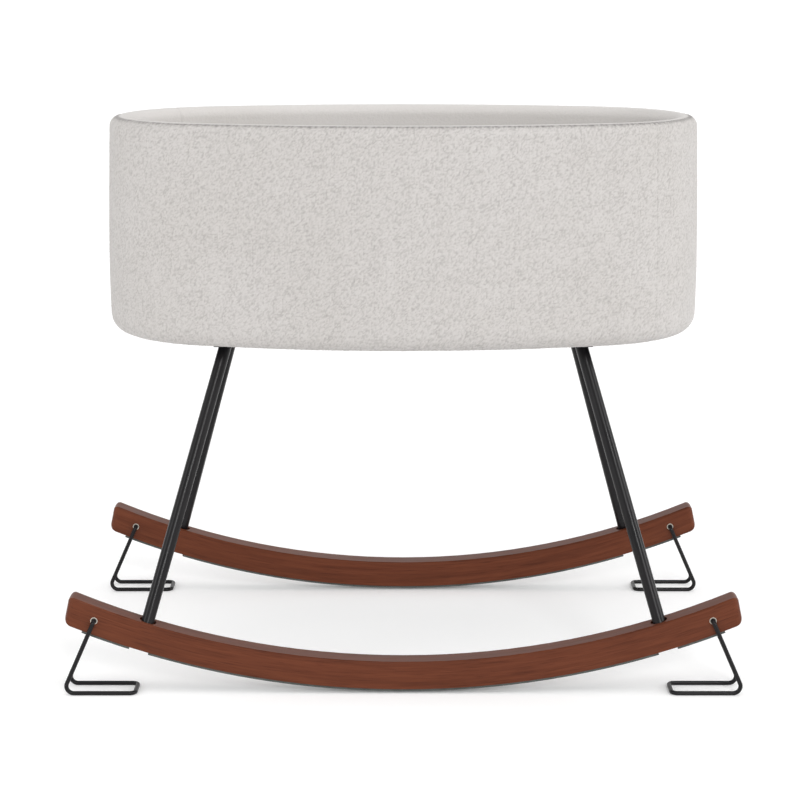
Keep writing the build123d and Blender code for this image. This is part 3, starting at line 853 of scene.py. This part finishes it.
def plain_grained(name, dark, pale, scale, roughness, depth):
    """Rubber, nylon or moulded plastic: two close tones and a fine matte grain."""
    material, tree, shader = start_material(name)
    place = object_place(tree)
    tone = noise(tree, place, scale / 12, 4.0)
    tree.links.new(ramp(tree, tone, [(0.3, dark), (0.7, pale)]), shader.inputs["Base Color"])
    shader.inputs["Roughness"].default_value = roughness
    shader.inputs["Specular IOR Level"].default_value = 0.4
    bump(tree, shader, noise(tree, place, scale, 3.0), depth, 0.6)
    return material


def bush_nylon(name):
    """Pale nylon, turning black within about three quarters of its radius, round the bore."""
    material, tree, shader = start_material(name)
    place = object_place(tree)
    split = node(tree, "ShaderNodeSeparateXYZ", {"Vector": place})
    off_x = math_node(tree, "SUBTRACT", math_node(tree, "ABSOLUTE", split.outputs["X"]), PIVOT_X)
    off_z = math_node(tree, "SUBTRACT", split.outputs["Z"], PIVOT_Z)
    radius = math_node(tree, "SQRT", math_node(tree, "ADD", math_node(tree, "MULTIPLY", off_x, off_x),
                                               math_node(tree, "MULTIPLY", off_z, off_z)))
    share = math_node(tree, "DIVIDE", radius, BUSH_RADIUS)
    tone = noise(tree, place, 60.0, 4.0)
    pale = ramp(tree, tone, [(0.3, (0.46, 0.42, 0.36)), (0.7, (0.58, 0.54, 0.47))])
    dark_bore = ramp(tree, share, [(0.74, (0.03, 0.03, 0.03)), (0.84, (1.0, 1.0, 1.0))])
    tree.links.new(mix(tree, 1.0, pale, dark_bore, "MULTIPLY"), shader.inputs["Base Color"])
    shader.inputs["Roughness"].default_value = 0.45
    bump(tree, shader, noise(tree, place, 700.0, 3.0), 0.00008, 0.6)
    return material


def plywood(name):
    """Birch plywood: long face grain, and thin dark glue lines through the thickness."""
    material, tree, shader = start_material(name)
    place = object_place(tree)
    stretched = node(tree, "ShaderNodeMapping", {"Vector": place, "Scale": (2.0, 40.0, 40.0)}).outputs[0]
    grain = noise(tree, stretched, 4.0, 5.0, 0.6)
    layers = node(tree, "ShaderNodeTexWave", {"Vector": place, "Scale": 130.0, "Distortion": 0.4},
                  bands_direction="Z")
    colour = ramp(tree, grain, [(0.3, (0.46, 0.31, 0.18)), (0.7, (0.62, 0.46, 0.29))])
    glue = ramp(tree, layers.outputs["Fac"], [(0.1, (0.7, 0.65, 0.6)), (0.35, (1.0, 1.0, 1.0))])
    tree.links.new(mix(tree, 0.7, colour, glue, "MULTIPLY"), shader.inputs["Base Color"])
    shader.inputs["Roughness"].default_value = 0.7
    bump(tree, shader, grain, 0.0003, 0.4)
    return material


def foam(name):
    """Open-cell foam."""
    material, tree, shader = start_material(name)
    place = object_place(tree)
    cells = node(tree, "ShaderNodeTexVoronoi", {"Vector": place, "Scale": 700.0}).outputs["Distance"]
    colour = ramp(tree, cells, [(0.1, (0.52, 0.50, 0.42)), (0.6, (0.76, 0.73, 0.63))])
    tree.links.new(colour, shader.inputs["Base Color"])
    shader.inputs["Roughness"].default_value = 0.95
    bump(tree, shader, cells, 0.0005, 0.6)
    return material


def spunbond(name):
    """Black non-woven cloth, bonded in a close pattern of small dots."""
    material, tree, shader = start_material(name)
    place = object_place(tree)
    pattern = {"Vector": place, "Scale": 650.0, "Randomness": 0.15}
    dots = node(tree, "ShaderNodeTexVoronoi", pattern).outputs["Distance"]
    fibres = noise(tree, place, 900.0, 4.0)
    colour = ramp(tree, fibres, [(0.3, (0.018, 0.018, 0.020)), (0.7, (0.050, 0.050, 0.054))])
    tree.links.new(colour, shader.inputs["Base Color"])
    shader.inputs["Roughness"].default_value = 0.85
    bump(tree, shader, dots, 0.0003, 0.7)
    return material


def finishes():
    """One material for each of the record's slots."""
    plastic_tones = (0.016, 0.016, 0.016), (0.028, 0.028, 0.028)
    rubber_tones = (0.060, 0.066, 0.060), (0.095, 0.103, 0.096)
    return {
        "boucle": boucle("cad_boucle"),
        "lining": boucle("cad_lining"),
        "mattress_cloth": cotton("cad_cotton"),
        "dust_cloth": spunbond("dust_spunbond"),
        "foam": foam("foam_cells"),
        "plywood": plywood("birch_plywood"),
        "rocker_wood": rocker_wood("stained_rocker_wood"),
        "black_steel": powder_coat("black_powder_coat"),
        "black_plastic": plain_grained("cap_plastic", *plastic_tones, 900.0, 0.55, 0.0001),
        "bush_plastic": bush_nylon("bush_nylon"),
        "zinc_steel": zinc("zinc_plate"),
        "grip_rubber": plain_grained("grip_rubber", *rubber_tones, 1200.0, 0.85, 0.0003),
    }


def dress_cad_nodes():
    made = finishes()
    for part in frame["record"]["subparts"]:
        thing = frame["nodes"][part["node"]]
        thing.data.materials.clear()
        thing.data.materials.append(made[part["material_slot"]])


# ---- stage, light and camera ----
def stage():
    bpy.ops.mesh.primitive_plane_add(size=2 * FLOOR_HALF, location=(0, 0, 0))
    floor = bpy.context.object
    floor.name = "studio_floor"
    material, tree, shader = start_material("studio_floor_paint")
    shader.inputs["Base Color"].default_value = (0.92, 0.92, 0.92, 1)
    shader.inputs["Roughness"].default_value = 0.9
    shader.inputs["Specular IOR Level"].default_value = 0.1
    shader.inputs["Emission Color"].default_value = (1, 1, 1, 1)
    shader.inputs["Emission Strength"].default_value = FLOOR_GLOW
    floor.data.materials.append(material)


def aim(lamp, towards):
    lamp.rotation_euler = Vector(towards).to_track_quat("-Z", "Y").to_euler()
    bpy.context.scene.collection.objects.link(lamp)


def area_light(name, place, target, size, power):
    light = bpy.data.lights.new(name, "AREA")
    light.shape = "DISK"
    light.size = size
    light.energy = power
    lamp = bpy.data.objects.new(name, light)
    lamp.location = place
    aim(lamp, Vector(target) - Vector(place))


def sun(name, azimuth, elevation, strength, softness):
    """A distant lamp; azimuth in degrees from the front towards the right, softness its angle in degrees."""
    light = bpy.data.lights.new(name, "SUN")
    light.energy = strength
    light.angle = math.radians(softness)
    flat = math.cos(math.radians(elevation))
    towards = (-flat * math.sin(math.radians(azimuth)), flat * math.cos(math.radians(azimuth)),
               -math.sin(math.radians(elevation)))
    aim(bpy.data.objects.new(name, light), towards)


def lights():
    world = bpy.data.worlds.new("studio")
    world.use_nodes = True
    tree = world.node_tree
    direction = node(tree, "ShaderNodeTexCoord").outputs["Generated"]
    up = node(tree, "ShaderNodeSeparateXYZ", {"Vector": direction})
    dome = ramp(tree, up.outputs["Z"], [(0.22, (1.0, 1.0, 1.0)), (0.60, (SKY_TOP, SKY_TOP, SKY_TOP))])
    tree.links.new(dome, tree.nodes["Background"].inputs["Color"])
    bpy.context.scene.world = world
    sun("overhead", azimuth=10, elevation=80, strength=0.55, softness=50)
    sun("key", azimuth=14, elevation=28, strength=0.82, softness=12)
    sun("side", azimuth=78, elevation=22, strength=0.85, softness=25)
    area_light("fill", place=(-2.8, -1.6, 1.5), target=(0, 0, 0.5), size=1.2, power=14)


def camera():
    data = bpy.data.cameras.new("camera")
    data.sensor_width = 36.0
    data.lens = CAMERA_LENS
    data.clip_end = 200.0
    view = bpy.data.objects.new("camera", data)
    view.location = CAMERA_PLACE
    view.rotation_euler = (math.radians(90 - CAMERA_PITCH), 0, 0)
    bpy.context.scene.collection.objects.link(view)
    bpy.context.scene.camera = view


camera()
stage()
lights()
dress_cad_nodes()
outer_cover()
lining_piece()
mattress_piece()
dust_sheet()
welds()
bpy.context.scene.view_settings.view_transform = "Standard"
bpy.context.view_layer.update()
